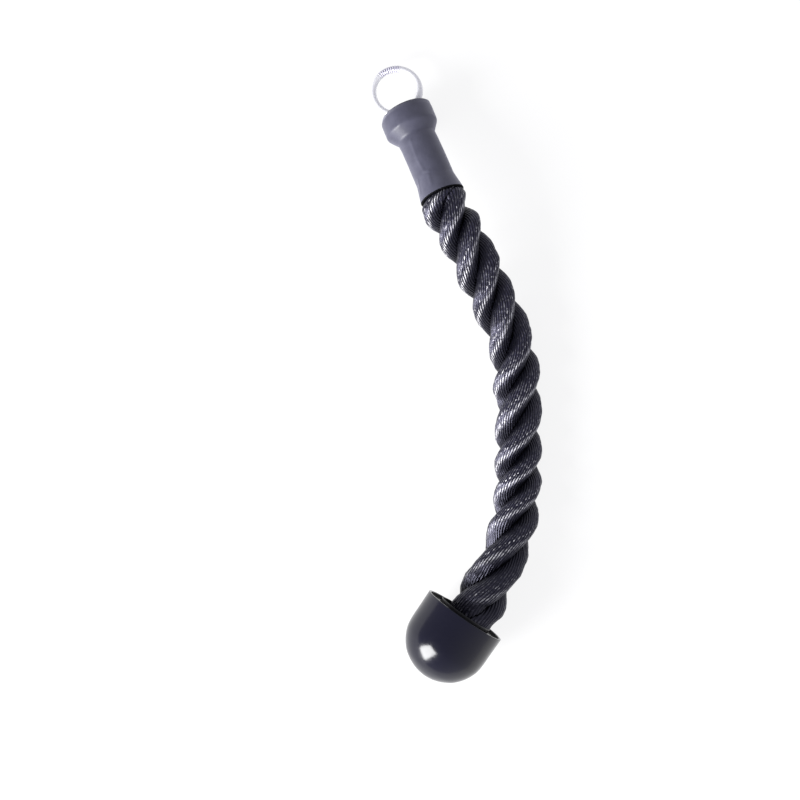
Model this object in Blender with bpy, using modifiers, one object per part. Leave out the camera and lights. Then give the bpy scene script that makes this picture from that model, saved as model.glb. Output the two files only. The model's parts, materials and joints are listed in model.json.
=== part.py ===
"""A rope handle for a cable machine, lying on a table.

A short laid rope of three strands ends in a crimped metal ferrule at one end and in a domed cap at the
other. An eye bolt in the ferrule holds the pull ring, and a soft sleeve covers the ferrule. Lengths are in
metres and angles in degrees. The ring is at +Y, the cap at -Y, and +Z is up from the table.
"""

import math

import bmesh
import bpy
import numpy as np
from mathutils import Matrix, Vector

OBJECT_NAME = "triceps_rope"

# The clearance left between pieces that touch, and how far a cutter runs past what it cuts.
GAP = 0.0003
OVERRUN = 0.001
# Points of a turned shape that lie closer than this on its axis are one point.
MERGE_DISTANCE = 0.000003

# The rope
ROPE_DIAMETER = 0.028
STRAND_COUNT = 3
# The middle and the radius of a strand's round back, as shares of the rope's radius.
STRAND_MIDDLE_SHARE = 0.48
STRAND_BACK_SHARE = 0.52
BACK_POINTS = 11
SECTION_SPACING = 0.004
# The length on the table between the sleeve and the cap's rim.
PLAN_LENGTH = 0.2656
COURSE_STEPS = 400

# The way the rope points on the table: the share of its length, and degrees from -Y towards +X.
HEADING_SHARES = (
    (0.00, 23.0),
    (0.08, 27.5),
    (0.195, 26.5),
    (0.285, 25.5),
    (0.335, 21.3),
    (0.38, 12.2),
    (0.43, 5.2),
    (0.51, 1.0),
    (0.60, 0.0),
    (0.68, -2.5),
    (0.73, -7.4),
    (0.78, -14.3),
    (0.83, -21.8),
    (0.88, -27.7),
    (0.94, -31.9),
    (1.00, -33.2),
)
# The rope lies flat on the table between these shares of its length.
REST_FROM_SHARE = 0.37
REST_TO_SHARE = 0.61
# Where each groove between strands passes the +X side: the share of the length, and thirds of a turn.
LAY_SHARES = (
    (0.037, 0.0),
    (0.10, 1.0),
    (0.19, 2.0),
    (0.273, 3.0),
    (0.38, 4.0),
    (0.463, 5.0),
    (0.557, 6.0),
    (0.636, 7.0),
    (0.71, 8.0),
    (0.792, 9.0),
    (0.90, 10.0),
    (1.00, 10.8),
)

# The sleeve over the rope's head, measured along its own axis from its mouth. MOUTH_ROUNDING is the
# length over which the collar narrows towards the mouth.
SLEEVE_LENGTH = 0.0588
SLEEVE_TILT = 13.5
SLEEVE_HEADING = 22.5
SLEEVE_WALL = 0.001
MOUTH_DIAMETER = 0.0306
MOUTH_ROUNDING = 0.0038
COLLAR_DIAMETER = 0.0321
COLLAR_LENGTH = 0.0121
NECK_DIAMETER = 0.0234
SLEEVE_END_DIAMETER = 0.0272
SLEEVE_EDGE = 0.0004
# Where the neck starts and ends, as shares of the sleeve's length.
NECK_FROM_SHARE = 0.31
NECK_TO_SHARE = 0.80
SLEEVE_SIDES = 40

# The ferrule inside the sleeve: a cup for the eye at the mouth, and a crimped tube on the rope.
FERRULE_WALL = 0.0012
FERRULE_INSET = 0.001
CUP_DEPTH = 0.0066
CUP_FLOOR = 0.0024
FERRULE_END_SHARE = 0.79
CRIMP_DEPTH = 0.0005
CRIMP_WIDTH = 0.0035
CRIMP_SHARES = (0.25, 0.50, 0.75)
# How far past the sleeve's end the rope reaches its full thickness again.
SWELLING_PAST_SLEEVE = 0.004
FERRULE_SIDES = 28

# The eye bolt that holds the ring, with its washer and nut.
EYE_HOLE_DIAMETER = 0.0052
EYE_BAR_DIAMETER = 0.0035
SHANK_DIAMETER = 0.005
SHANK_EDGE = 0.0003
# How much slimmer the shank is where it starts in the middle of the eye's bar.
SHANK_TAPER = 0.0004
WASHER_DIAMETER = 0.012
WASHER_THICKNESS = 0.0012
NUT_ACROSS_FLATS = 0.008
NUT_HEIGHT = 0.005
SHANK_PAST_NUT = 0.0012
ROPE_PAST_SHANK = 0.001
BOLT_SIDES = 20
EYE_SIDES = 24
EYE_BAR_SIDES = 10
NUT_SIDES = 6

# The pull ring
WIRE_DIAMETER = 0.004
RING_INSIDE_DIAMETER = 0.024
RING_HEADING = 24.3
RING_TILT = 8.0
RING_SIDES = 48
WIRE_SIDES = 14

# The domed cap, measured along its own axis from its rim.
CAP_DIAMETER = 0.0512
CAP_DEPTH = 0.0430
CAP_HEADING = -34.3
# How far the cap's middle lies to the side of the rope's, because the rope leans in its hole.
CAP_SHIFT = 0.0017
CAP_LIP = 0.0015
CAP_WALL = 0.0027
CAP_FLOOR = 0.0032
CAP_EDGE = 0.0003
CAP_SIDES = 44
# The outside of the cap: the share of its depth, and the share of its radius.
CAP_OUTSIDE_SHARES = (
    (0.26, 0.990),
    (0.40, 0.982),
    (0.50, 0.968),
    (0.57, 0.938),
    (0.64, 0.884),
    (0.71, 0.812),
    (0.78, 0.722),
    (0.85, 0.612),
    (0.91, 0.485),
    (0.955, 0.350),
    (0.985, 0.205),
)
# The inside past the lid's seat: the share of the cavity's depth, and the share of its radius.
CAP_INSIDE_SHARES = ((0.55, 1.0), (0.68, 0.93), (0.80, 0.78), (0.90, 0.56), (0.97, 0.30))

# The lid that closes the cap round the rope.
LID_RECESS = 0.002
LID_THICKNESS = 0.0032
LID_BEAD = 0.0004
BEAD_WIDTH = 0.0016
BOSS_DIAMETER = 0.0338
BOSS_HEIGHT = 0.0032
BOSS_EDGE = 0.0004
# The rope's thickness where it passes the lid, as a share of its thickness elsewhere.
ROPE_AT_CAP_SHARE = 0.97
ROPE_IN_BAND_SHARE = 0.90
THINNING_SHARE = 0.06

# The washer and the crimped band that keep the rope's end in the cap.
STOP_WASHER_CLEARANCE = 0.0004
STOP_WASHER_THICKNESS = 0.002
BAND_LENGTH = 0.011
BAND_WALL = 0.0016
BAND_CRIMP = 0.0005
BAND_CRIMP_WIDTH = 0.0028
BAND_CRIMP_SHARES = (0.3, 0.7)
ROPE_PAST_BAND = 0.002
BAND_SIDES = 32

# The middle of the rope's bending, as a share of its length.
FLEX_SHARE = 0.5

# colour, roughness and metallic of each piece
FINISHES = {
    "pull_ring": ((0.80, 0.80, 0.82), 0.12, 1.0),
    "eye_bolt": ((0.62, 0.62, 0.64), 0.28, 1.0),
    "eye_washer": ((0.60, 0.60, 0.60), 0.35, 1.0),
    "eye_nut": ((0.58, 0.58, 0.60), 0.35, 1.0),
    "ferrule": ((0.70, 0.71, 0.73), 0.35, 1.0),
    "shrink_sleeve": ((0.09, 0.09, 0.14), 0.55, 0.0),
    "strand_1": ((0.016, 0.016, 0.022), 0.45, 0.0),
    "strand_2": ((0.016, 0.016, 0.022), 0.45, 0.0),
    "strand_3": ((0.016, 0.016, 0.022), 0.45, 0.0),
    "end_cap": ((0.012, 0.012, 0.018), 0.10, 0.0),
    "cap_lid": ((0.014, 0.014, 0.020), 0.16, 0.0),
    "stop_washer": ((0.58, 0.58, 0.60), 0.35, 1.0),
    "crimp_band": ((0.70, 0.71, 0.73), 0.38, 1.0),
}


def smooth(rows, places):
    """The values at places, on a smooth curve through rows of place and value."""
    known, values = (np.array(column, float) for column in zip(*rows))
    slopes = np.gradient(values, known)
    inside = np.clip(places, known[0], known[-1])
    left = np.clip(np.searchsorted(known, inside) - 1, 0, len(known) - 2)
    right = left + 1
    width = known[right] - known[left]
    t = (inside - known[left]) / width
    curve = ease_between(t, values[left], values[right], slopes[left] * width, slopes[right] * width)
    end_slope = np.where(places < known[0], slopes[0], slopes[-1])
    return curve + end_slope * (places - inside)


def ease_between(t, start, end, start_slope, end_slope):
    """A cubic from start to end with these slopes, at t from 0 to 1."""
    return (
        start * (1 - t) ** 2 * (1 + 2 * t)
        + end * t**2 * (3 - 2 * t)
        + start_slope * t * (1 - t) ** 2
        - end_slope * t**2 * (1 - t)
    )


def step_up(t):
    """A smooth rise from 0 to 1 while t goes from 0 to 1."""
    return ease_between(np.clip(t, 0, 1), 0, 1, 0, 0)


def direction(heading, tilt=0.0):
    """A unit vector at a heading from -Y towards +X, tilted up from the table."""
    turn, rise = math.radians(heading), math.radians(tilt)
    return Vector((math.sin(turn) * math.cos(rise), -math.cos(turn) * math.cos(rise), math.sin(rise)))


def frame_at(origin, along):
    """A matrix whose Z runs along a direction, with its X level."""
    z_axis = along.normalized()
    x_axis = Vector((0, 0, 1)).cross(z_axis).normalized()
    y_axis = z_axis.cross(x_axis)
    turn = Matrix((x_axis, y_axis, z_axis)).transposed()
    return Matrix.Translation(origin) @ turn.to_4x4()


class Layout:
    """Where the head, the rope's course and the cap lie on the table."""

    def __init__(self):
        tilt = math.radians(SLEEVE_TILT)
        self.head_axis = direction(SLEEVE_HEADING, SLEEVE_TILT)
        mouth_height = MOUTH_DIAMETER / 2 * math.cos(tilt)
        exit_height = mouth_height + SLEEVE_LENGTH * math.sin(tilt)
        self.course = self.free_course(exit_height)
        self.mouth = Vector(self.course[0]) - self.head_axis * SLEEVE_LENGTH
        self.cap_axis = direction(CAP_HEADING)
        self.rim = Vector(self.course[-1])
        self.cap_middle = self.rim + Vector((0, 0, 1)).cross(self.cap_axis) * -CAP_SHIFT
        steps = np.linalg.norm(np.diff(self.course, axis=0), axis=1)
        self.along = np.concatenate([[0], np.cumsum(steps)])
        self.free_length = self.along[-1]
        self.head_length = SLEEVE_LENGTH - rope_start()
        self.cap_length = rope_end_depth()

    def free_course(self, exit_height):
        """The rope's middle between the sleeve and the cap, as rows of X, Y and Z."""
        share = np.linspace(0, 1, COURSE_STEPS + 1)
        middle = (share[1:] + share[:-1]) / 2
        heading = np.radians(smooth(HEADING_SHARES, middle))
        step = PLAN_LENGTH / COURSE_STEPS
        across = np.concatenate([[0], np.cumsum(np.sin(heading) * step)])
        down = np.concatenate([[0], np.cumsum(-np.cos(heading) * step)])
        first = share / REST_FROM_SHARE
        last = (share - REST_TO_SHARE) / (1 - REST_TO_SHARE)
        lying = ROPE_DIAMETER / 2
        climb = math.tan(math.radians(SLEEVE_TILT)) * PLAN_LENGTH * REST_FROM_SHARE
        height = np.where(
            share < REST_FROM_SHARE,
            ease_between(np.clip(first, 0, 1), exit_height, lying, climb, 0),
            ease_between(np.clip(last, 0, 1), lying, CAP_DIAMETER / 2, 0, 0),
        )
        return np.column_stack([across, down, height])

    def middle(self, distance):
        """The rope's middle at a distance past the sleeve's end, which may be inside the sleeve or cap."""
        if distance < 0:
            return Vector(self.course[0]) + self.head_axis * distance
        if distance > self.free_length:
            return self.rim + self.cap_axis * (distance - self.free_length)
        return Vector([float(np.interp(distance, self.along, self.course[:, k])) for k in range(3)])

    def turn(self, distance):
        """How far the strands have turned round the rope, in radians."""
        thirds = smooth(LAY_SHARES, np.array(distance / self.free_length))
        return float(thirds) * math.tau / STRAND_COUNT

    def rope_radius(self, distance):
        """The rope's radius: squeezed in the ferrule, full outside, thinner again at the cap."""
        full = ROPE_DIAMETER / 2
        squeezed = ferrule_bore() - GAP
        at_exit = SLEEVE_END_DIAMETER / 2 - SLEEVE_WALL - GAP
        in_flare = 1 + distance / (SLEEVE_LENGTH - ferrule_end())
        head_radius = squeezed + (at_exit - squeezed) * float(step_up(in_flare))
        head_radius += (full - at_exit) * float(step_up(distance / SWELLING_PAST_SLEEVE))
        thinning = THINNING_SHARE * self.free_length
        near_cap = (distance - self.free_length + thinning) / thinning
        in_cap = (distance - self.free_length - lid_back()) / band_start_past_lid()
        share = 1 - (1 - ROPE_AT_CAP_SHARE) * float(step_up(near_cap))
        share -= (ROPE_AT_CAP_SHARE - ROPE_IN_BAND_SHARE) * float(step_up(in_cap))
        return head_radius * share


def eye_middle_radius():
    return (EYE_HOLE_DIAMETER + EYE_BAR_DIAMETER) / 2


def cup_floor_top():
    return FERRULE_INSET + CUP_DEPTH


def cup_floor_back():
    return cup_floor_top() + CUP_FLOOR


def washer_top():
    return cup_floor_back() + GAP


def nut_top():
    return washer_top() + WASHER_THICKNESS + GAP


def shank_end():
    return nut_top() + NUT_HEIGHT + SHANK_PAST_NUT


def rope_start():
    return shank_end() + ROPE_PAST_SHANK


def ferrule_end():
    return SLEEVE_LENGTH * FERRULE_END_SHARE


def ferrule_outside():
    return NECK_DIAMETER / 2 - SLEEVE_WALL - GAP


def ferrule_bore():
    return ferrule_outside() - FERRULE_WALL


def lid_back():
    return LID_RECESS + LID_THICKNESS


def stop_washer_top():
    return lid_back() + GAP


def band_start_past_lid():
    return STOP_WASHER_THICKNESS + 2 * GAP


def band_top():
    return lid_back() + band_start_past_lid()


def rope_end_depth():
    return band_top() + BAND_LENGTH + ROPE_PAST_BAND


def lid_seat_radius():
    return CAP_DIAMETER / 2 - CAP_LIP


def cavity_radius():
    return CAP_DIAMETER / 2 - CAP_WALL


def rope_hole_radius():
    return ROPE_DIAMETER / 2 * ROPE_AT_CAP_SHARE + CAP_SHIFT + GAP


def band_bore():
    return ROPE_DIAMETER / 2 * ROPE_IN_BAND_SHARE + GAP


def add_mesh(name, points, edges=(), faces=()):
    """A mesh object in the object's own collection."""
    mesh = bpy.data.meshes.new(name)
    mesh.from_pydata([tuple(point) for point in points], list(edges), list(faces))
    mesh.validate()
    thing = bpy.data.objects.new(name, mesh)
    PIECES.objects.link(thing)
    return thing


def revolve(name, outline, sides, closed=True):
    """A solid of revolution round Z from an outline of radius and height."""
    points = [(radius, 0, height) for radius, height in outline]
    edges = [(k, k + 1) for k in range(len(points) - 1)]
    if closed:
        edges.append((len(points) - 1, 0))
    thing = add_mesh(name, points, edges)
    spin = thing.modifiers.new("Revolve", "SCREW")
    spin.axis = "Z"
    spin.angle = math.tau
    spin.steps = sides
    spin.render_steps = sides
    spin.use_merge_vertices = True
    spin.merge_threshold = MERGE_DISTANCE
    spin.use_smooth_shade = True
    return thing


def tube(name, inner, outer, start, end, sides):
    """A plain tube or washer round Z."""
    return revolve(name, [(outer, end), (outer, start), (inner, start), (inner, end)], sides)


def torus(name, middle_radius, wire_radius, sides, wire_sides):
    """A ring of round wire in the XY plane."""
    bpy.ops.mesh.primitive_torus_add(
        major_radius=middle_radius,
        minor_radius=wire_radius,
        major_segments=sides,
        minor_segments=wire_sides,
    )
    return take_primitive(name)


def take_primitive(name, flat=False):
    """Names the primitive that was just added, and moves it to the object's own collection."""
    thing = bpy.context.object
    thing.name = name
    thing.data.name = name
    for collection in list(thing.users_collection):
        collection.objects.unlink(thing)
    PIECES.objects.link(thing)
    if not flat:
        thing.data.shade_smooth()
    return thing


def cut_or_join(thing, other, operation):
    """A Boolean of thing with other, which is kept as a hidden cutter."""
    boolean = thing.modifiers.new(operation.title(), "BOOLEAN")
    boolean.operation = operation
    boolean.object = other
    boolean.solver = "EXACT"
    PIECES.objects.unlink(other)
    CUTTERS.objects.link(other)
    other.hide_render = True
    other.display_type = "WIRE"


def rounded_back(radius):
    """A strand's section: a sharp inner corner, two flat sides and a round back."""
    middle = radius * STRAND_MIDDLE_SHARE
    back = radius * STRAND_BACK_SHARE
    half_angle = math.pi / STRAND_COUNT
    corner = GAP / 2 / math.sin(half_angle)
    reach = middle - corner
    side = reach * math.cos(half_angle) + math.sqrt(back**2 - (reach * math.sin(half_angle)) ** 2)
    edge_x, edge_y = corner + side * math.cos(half_angle), side * math.sin(half_angle)
    swing = math.atan2(edge_y, edge_x - middle)
    section = [(corner, 0)]
    for angle in np.linspace(-swing, swing, BACK_POINTS):
        section.append((middle + back * math.cos(angle), back * math.sin(angle)))
    return section


def strand(name, number, layout):
    """One strand, lofted along the rope's course while it turns round the rope's middle."""
    first, last = -layout.head_length, layout.free_length + layout.cap_length
    count = round((last - first) / SECTION_SPACING)
    points, faces = [], []
    for distance in np.linspace(first, last, count + 1):
        place = frame_at(layout.middle(distance), course_direction(layout, distance))
        # The sector's edges lie in the grooves, so its middle is half a sector further round.
        turn = layout.turn(distance) + math.tau * (number + 1 / 2) / STRAND_COUNT
        roll = Matrix.Rotation(turn, 4, "Z")
        for x, y in rounded_back(layout.rope_radius(distance)):
            points.append(place @ roll @ Vector((x, y, 0)))
    size = BACK_POINTS + 1
    for ring in range(count):
        for k in range(size):
            here, beside = ring * size + k, ring * size + (k + 1) % size
            above, across = here + size, beside + size
            if k == size - 1:
                faces += [(here, beside, above), (beside, across, above)]
            else:
                faces += [(here, beside, across), (here, across, above)]
    faces.append(tuple(reversed(range(size))))
    faces.append(tuple(range(count * size, (count + 1) * size)))
    thing = add_mesh(name, points, faces=faces)
    thing.data.shade_smooth()
    return thing


def course_direction(layout, distance):
    """The way the rope points at a distance along it."""
    reach = SECTION_SPACING / 2
    return layout.middle(distance + reach) - layout.middle(distance - reach)


def add_ring(layout):
    """The pull ring, with its origin on the wire's middle inside the eye."""
    middle_radius = (RING_INSIDE_DIAMETER + WIRE_DIAMETER) / 2
    ring = torus("pull_ring", middle_radius, WIRE_DIAMETER / 2, RING_SIDES, WIRE_SIDES)
    hub = bpy.data.objects.new("ring_pivot", None)
    PIECES.objects.link(hub)
    outward = -direction(RING_HEADING, RING_TILT)
    level = Vector((0, 0, 1)).cross(outward).normalized()
    turn = Matrix((level, outward, level.cross(outward))).transposed().to_4x4()
    hub.matrix_world = Matrix.Translation(layout.mouth) @ turn
    ring.parent = hub
    ring.location = (0, middle_radius, 0)
    return ring, hub


def add_eye_bolt(place):
    """A closed eye with a shank, as one piece."""
    eye = torus("eye_bolt", eye_middle_radius(), EYE_BAR_DIAMETER / 2, EYE_SIDES, EYE_BAR_SIDES)
    eye.matrix_world = place @ Matrix.Rotation(math.pi / 2, 4, "Y")
    radius = SHANK_DIAMETER / 2
    start = eye_middle_radius()
    outline = [(0, shank_end()), (radius - SHANK_EDGE, shank_end()), (radius, shank_end() - SHANK_EDGE)]
    outline += [(radius, start + EYE_BAR_DIAMETER / 2), (radius - SHANK_TAPER, start), (0, start)]
    shank = revolve("eye_shank", outline, BOLT_SIDES, closed=False)
    shank.matrix_world = place
    cut_or_join(eye, shank, "UNION")
    return eye


def add_nut(place):
    """A hexagon nut on the shank."""
    nut = cylinder("eye_nut", NUT_ACROSS_FLATS / 2 / math.cos(math.pi / NUT_SIDES), NUT_HEIGHT, NUT_SIDES)
    bore = cylinder("eye_nut_bore", SHANK_DIAMETER / 2 + GAP, NUT_HEIGHT + 2 * OVERRUN, BOLT_SIDES)
    middle = place @ Matrix.Translation((0, 0, nut_top() + NUT_HEIGHT / 2))
    nut.matrix_world = middle
    bore.matrix_world = middle
    cut_or_join(nut, bore, "DIFFERENCE")
    return nut


def cylinder(name, radius, height, sides):
    """A primitive cylinder, flat shaded."""
    bpy.ops.mesh.primitive_cylinder_add(radius=radius, depth=height, vertices=sides)
    return take_primitive(name, flat=True)


def grooved(radius, start, end, shares, width, depth):
    """The outer side of a crimped tube from its end to its start, with a groove at each share."""
    side = [(radius, end)]
    for share in sorted(shares, reverse=True):
        middle = start + (end - start) * share
        side += [(radius, middle + width / 2), (radius - depth, middle + width / 4)]
        side += [(radius - depth, middle - width / 4), (radius, middle - width / 2)]
    side.append((radius, start))
    return side


def add_ferrule(place):
    """A cup for the eye, a floor that the bolt passes, and a tube crimped on the rope."""
    cup_outside = MOUTH_DIAMETER / 2 - SLEEVE_WALL - GAP
    cup_inside = cup_outside - FERRULE_WALL
    neck_start = SLEEVE_LENGTH * NECK_FROM_SHARE
    outline = grooved(
        ferrule_outside(), neck_start, ferrule_end(), CRIMP_SHARES, CRIMP_WIDTH, CRIMP_DEPTH
    )
    outline += [
        (cup_outside, COLLAR_LENGTH),
        (cup_outside, FERRULE_INSET),
        (cup_inside, FERRULE_INSET),
        (cup_inside, cup_floor_top()),
        (SHANK_DIAMETER / 2 + GAP, cup_floor_top()),
        (SHANK_DIAMETER / 2 + GAP, cup_floor_back()),
        (ferrule_bore(), cup_floor_back()),
        (ferrule_bore(), ferrule_end()),
    ]
    ferrule = revolve("ferrule", outline, FERRULE_SIDES)
    ferrule.matrix_world = place
    return ferrule


def add_sleeve(place):
    """The soft sleeve: a collar round the cup, a neck round the tube, and a flare on the rope."""
    mouth, collar = MOUTH_DIAMETER / 2, COLLAR_DIAMETER / 2
    neck, end = NECK_DIAMETER / 2, SLEEVE_END_DIAMETER / 2
    neck_start, neck_stop = SLEEVE_LENGTH * NECK_FROM_SHARE, SLEEVE_LENGTH * NECK_TO_SHARE
    outside = [
        (end - SLEEVE_EDGE, SLEEVE_LENGTH),
        (end, SLEEVE_LENGTH - SLEEVE_EDGE),
        ((end + neck) / 2, (SLEEVE_LENGTH + neck_stop) / 2),
        (neck, neck_stop),
        (neck, neck_start),
        (collar, COLLAR_LENGTH),
        (collar, MOUTH_ROUNDING),
        (mouth, SLEEVE_EDGE),
        (mouth - SLEEVE_EDGE, 0),
    ]
    inside = [
        (mouth - SLEEVE_WALL, 0),
        (mouth - SLEEVE_WALL, COLLAR_LENGTH),
        (neck - SLEEVE_WALL, neck_start),
        (neck - SLEEVE_WALL, ferrule_end()),
        (end - SLEEVE_WALL, SLEEVE_LENGTH),
    ]
    sleeve = revolve("shrink_sleeve", outside + inside, SLEEVE_SIDES)
    sleeve.matrix_world = place
    return sleeve


def add_cap(place):
    """The cup with its closed dome, a seat for the lid and a groove for the lid's bead."""
    radius, seat = CAP_DIAMETER / 2, lid_seat_radius()
    seat_depth = lid_back() + GAP
    groove = (LID_RECESS + lid_back()) / 2
    outside = [(0, CAP_DEPTH)]
    for depth_share, radius_share in reversed(CAP_OUTSIDE_SHARES):
        outside.append((radius * radius_share, CAP_DEPTH * depth_share))
    outside += [(radius, CAP_EDGE), (radius - CAP_EDGE, 0)]
    inside = [
        (seat, 0),
        (seat, groove - BEAD_WIDTH / 2 - GAP),
        (seat + LID_BEAD, groove - GAP),
        (seat + LID_BEAD, groove + GAP),
        (seat, groove + BEAD_WIDTH / 2 + GAP),
        (seat, seat_depth),
    ]
    cavity = cavity_radius()
    cavity_depth = CAP_DEPTH - CAP_FLOOR
    inside.append((cavity, seat_depth))
    for depth_share, radius_share in CAP_INSIDE_SHARES:
        inside.append((cavity * radius_share, cavity_depth * depth_share))
    inside.append((0, cavity_depth))
    cap = revolve("end_cap", outside + inside, CAP_SIDES, closed=False)
    cap.matrix_world = place
    return cap


def add_lid(place):
    """The flat lid with a raised boss round the rope and a bead that snaps into the cap."""
    edge = lid_seat_radius() - GAP
    boss, hole = BOSS_DIAMETER / 2, rope_hole_radius()
    top, back = LID_RECESS, lid_back()
    bead = (top + back) / 2
    outline = [
        (edge, back),
        (edge, bead + BEAD_WIDTH / 2),
        (edge + LID_BEAD, bead),
        (edge, bead - BEAD_WIDTH / 2),
        (edge, top),
        (boss, top),
        (boss, top - BOSS_HEIGHT + BOSS_EDGE),
        (boss - BOSS_EDGE, top - BOSS_HEIGHT),
        (hole, top - BOSS_HEIGHT),
        (hole, back),
    ]
    lid = revolve("cap_lid", outline, CAP_SIDES)
    lid.matrix_world = place
    return lid


def add_end_stop(place, rope_place):
    """The washer behind the lid and the band crimped on the rope's end, which leans off the cap's middle."""
    top = stop_washer_top()
    washer = tube(
        "stop_washer",
        rope_hole_radius(),
        cavity_radius() - STOP_WASHER_CLEARANCE,
        top,
        top + STOP_WASHER_THICKNESS,
        BAND_SIDES,
    )
    start, end = band_top(), band_top() + BAND_LENGTH
    outer = band_bore() + BAND_WALL
    outline = grooved(outer, start, end, BAND_CRIMP_SHARES, BAND_CRIMP_WIDTH, BAND_CRIMP)
    outline += [(band_bore(), start), (band_bore(), end)]
    band = revolve("crimp_band", outline, BAND_SIDES)
    washer.matrix_world = place
    band.matrix_world = rope_place
    return [washer, band]


def give_material(thing):
    """A material of the piece's own name, with its colour, roughness and metallic."""
    colour, roughness, metallic = FINISHES[thing.name]
    material = bpy.data.materials.new(thing.name)
    material.use_nodes = True
    shader = material.node_tree.nodes["Principled BSDF"]
    shader.inputs["Base Color"].default_value = (*colour, 1)
    shader.inputs["Roughness"].default_value = roughness
    shader.inputs["Metallic"].default_value = metallic
    material.diffuse_color = (*colour, 1)
    thing.data.materials.append(material)


def hold(children, parent):
    """Parents pieces without moving them."""
    bpy.context.view_layer.update()
    for child in children:
        child.parent = parent
        child.matrix_parent_inverse = parent.matrix_world.inverted()


def corners(things):
    """The lowest and the highest corner of all evaluated meshes."""
    depsgraph = bpy.context.evaluated_depsgraph_get()
    places = []
    for thing in things:
        solid = thing.evaluated_get(depsgraph)
        mesh = solid.to_mesh()
        flat = np.empty(len(mesh.vertices) * 3)
        mesh.vertices.foreach_get("co", flat)
        matrix = np.array(solid.matrix_world)
        places.append(flat.reshape(-1, 3) @ matrix[:3, :3].T + matrix[:3, 3])
        solid.to_mesh_clear()
    places = np.vstack(places)
    return places.min(axis=0), places.max(axis=0)


def empty(name, place):
    """An empty that carries other objects."""
    thing = bpy.data.objects.new(name, None)
    thing.matrix_world = place
    PIECES.objects.link(thing)
    return thing


def rounded(vector):
    return [round(value, 5) for value in vector]


def build():
    layout = Layout()
    head = frame_at(layout.mouth, layout.head_axis)
    cap = frame_at(layout.cap_middle, layout.cap_axis)
    rope_in_cap = frame_at(layout.rim, layout.cap_axis)
    fixed = [add_ferrule(head), add_sleeve(head), add_eye_bolt(head), add_nut(head)]
    bore = SHANK_DIAMETER / 2 + GAP
    washer = tube(
        "eye_washer", bore, WASHER_DIAMETER / 2, washer_top(), washer_top() + WASHER_THICKNESS, BOLT_SIDES
    )
    washer.matrix_world = head
    fixed.append(washer)
    fixed += [strand(f"strand_{k + 1}", k, layout) for k in range(STRAND_COUNT)]
    ring, ring_pivot = add_ring(layout)
    capped = [add_cap(cap), add_lid(cap), *add_end_stop(cap, rope_in_cap)]
    flex = layout.middle(layout.free_length * FLEX_SHARE)
    cap_pivot = empty("cap_pivot", Matrix.Translation(flex))
    hold(capped, cap_pivot)
    pieces = [*fixed, ring, *capped]
    for piece in pieces:
        give_material(piece)
    bpy.context.view_layer.update()
    low, high = corners(pieces)
    root = empty(OBJECT_NAME, Matrix())
    cutters = list(CUTTERS.objects)
    hold([*fixed, *cutters, ring_pivot, cap_pivot], root)
    shift = -Vector(((low[0] + high[0]) / 2, (low[1] + high[1]) / 2, low[2]))
    root.location = shift
    bpy.context.view_layer.update()
    report(layout, cap, shift, pieces)


def report(layout, cap, shift, pieces):
    """Prints what the record needs: the box, the joints and the mounts."""
    low, high = corners(pieces)
    middle_radius = (RING_INSIDE_DIAMETER + WIRE_DIAMETER) / 2
    outward = -direction(RING_HEADING, RING_TILT)
    face_radius = (BOSS_DIAMETER / 2 + lid_seat_radius()) / 2
    face = cap @ Vector((0, face_radius, LID_RECESS)) + shift
    level = Vector((0, 0, 1)).cross(outward).normalized()
    print("box", rounded(low), rounded(high))
    print("ring joint", rounded(layout.mouth + shift), "axis", rounded(level))
    print("ring middle", rounded(layout.mouth + shift + outward * middle_radius))
    print("ring outward", rounded(outward))
    print("flex joint", rounded(layout.middle(layout.free_length * FLEX_SHARE) + shift))
    print("lid face", rounded(face), "axis", rounded(-layout.cap_axis))
    print("sleeve end", rounded(layout.middle(0) + shift), "rim", rounded(layout.cap_middle + shift))
    print("free length", round(layout.free_length, 5))


for old in list(bpy.data.objects):
    bpy.data.objects.remove(old)
PIECES = bpy.data.collections.new(OBJECT_NAME)
CUTTERS = bpy.data.collections.new("cutters")
for collection in (PIECES, CUTTERS):
    bpy.context.scene.collection.children.link(collection)
build()
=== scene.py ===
"""The looks of a rope handle for a cable machine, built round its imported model."""
import json
import math

import bpy
import numpy as np
from mathutils import Matrix, Vector


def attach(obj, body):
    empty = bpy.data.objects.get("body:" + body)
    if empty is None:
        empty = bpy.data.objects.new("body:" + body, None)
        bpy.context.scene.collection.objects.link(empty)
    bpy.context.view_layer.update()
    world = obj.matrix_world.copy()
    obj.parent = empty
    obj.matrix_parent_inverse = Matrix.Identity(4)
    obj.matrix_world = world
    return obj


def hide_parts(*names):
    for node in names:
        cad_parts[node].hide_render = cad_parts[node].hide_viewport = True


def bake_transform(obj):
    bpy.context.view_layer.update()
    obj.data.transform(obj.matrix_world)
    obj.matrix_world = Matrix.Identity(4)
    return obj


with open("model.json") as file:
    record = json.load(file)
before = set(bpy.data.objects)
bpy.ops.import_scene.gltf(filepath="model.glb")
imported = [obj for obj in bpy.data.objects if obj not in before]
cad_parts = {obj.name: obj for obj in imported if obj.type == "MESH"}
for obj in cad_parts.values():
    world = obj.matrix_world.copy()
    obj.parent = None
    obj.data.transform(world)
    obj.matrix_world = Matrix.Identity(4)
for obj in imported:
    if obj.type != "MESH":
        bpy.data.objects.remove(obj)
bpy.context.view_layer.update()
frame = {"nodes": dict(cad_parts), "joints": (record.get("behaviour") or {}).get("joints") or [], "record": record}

RANDOM = np.random.default_rng(7)

# The camera looks straight down, as in the photograph.
PICTURE_PIXELS = 800
FOCAL_PIXELS = 1500
SENSOR_WIDTH = 36
CAMERA_HEIGHT = 0.915
# The pixel of the photograph where the rope leaves the sleeve, as seen from straight above it.
SLEEVE_END_PIXEL = (441.6, 203.3)

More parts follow.
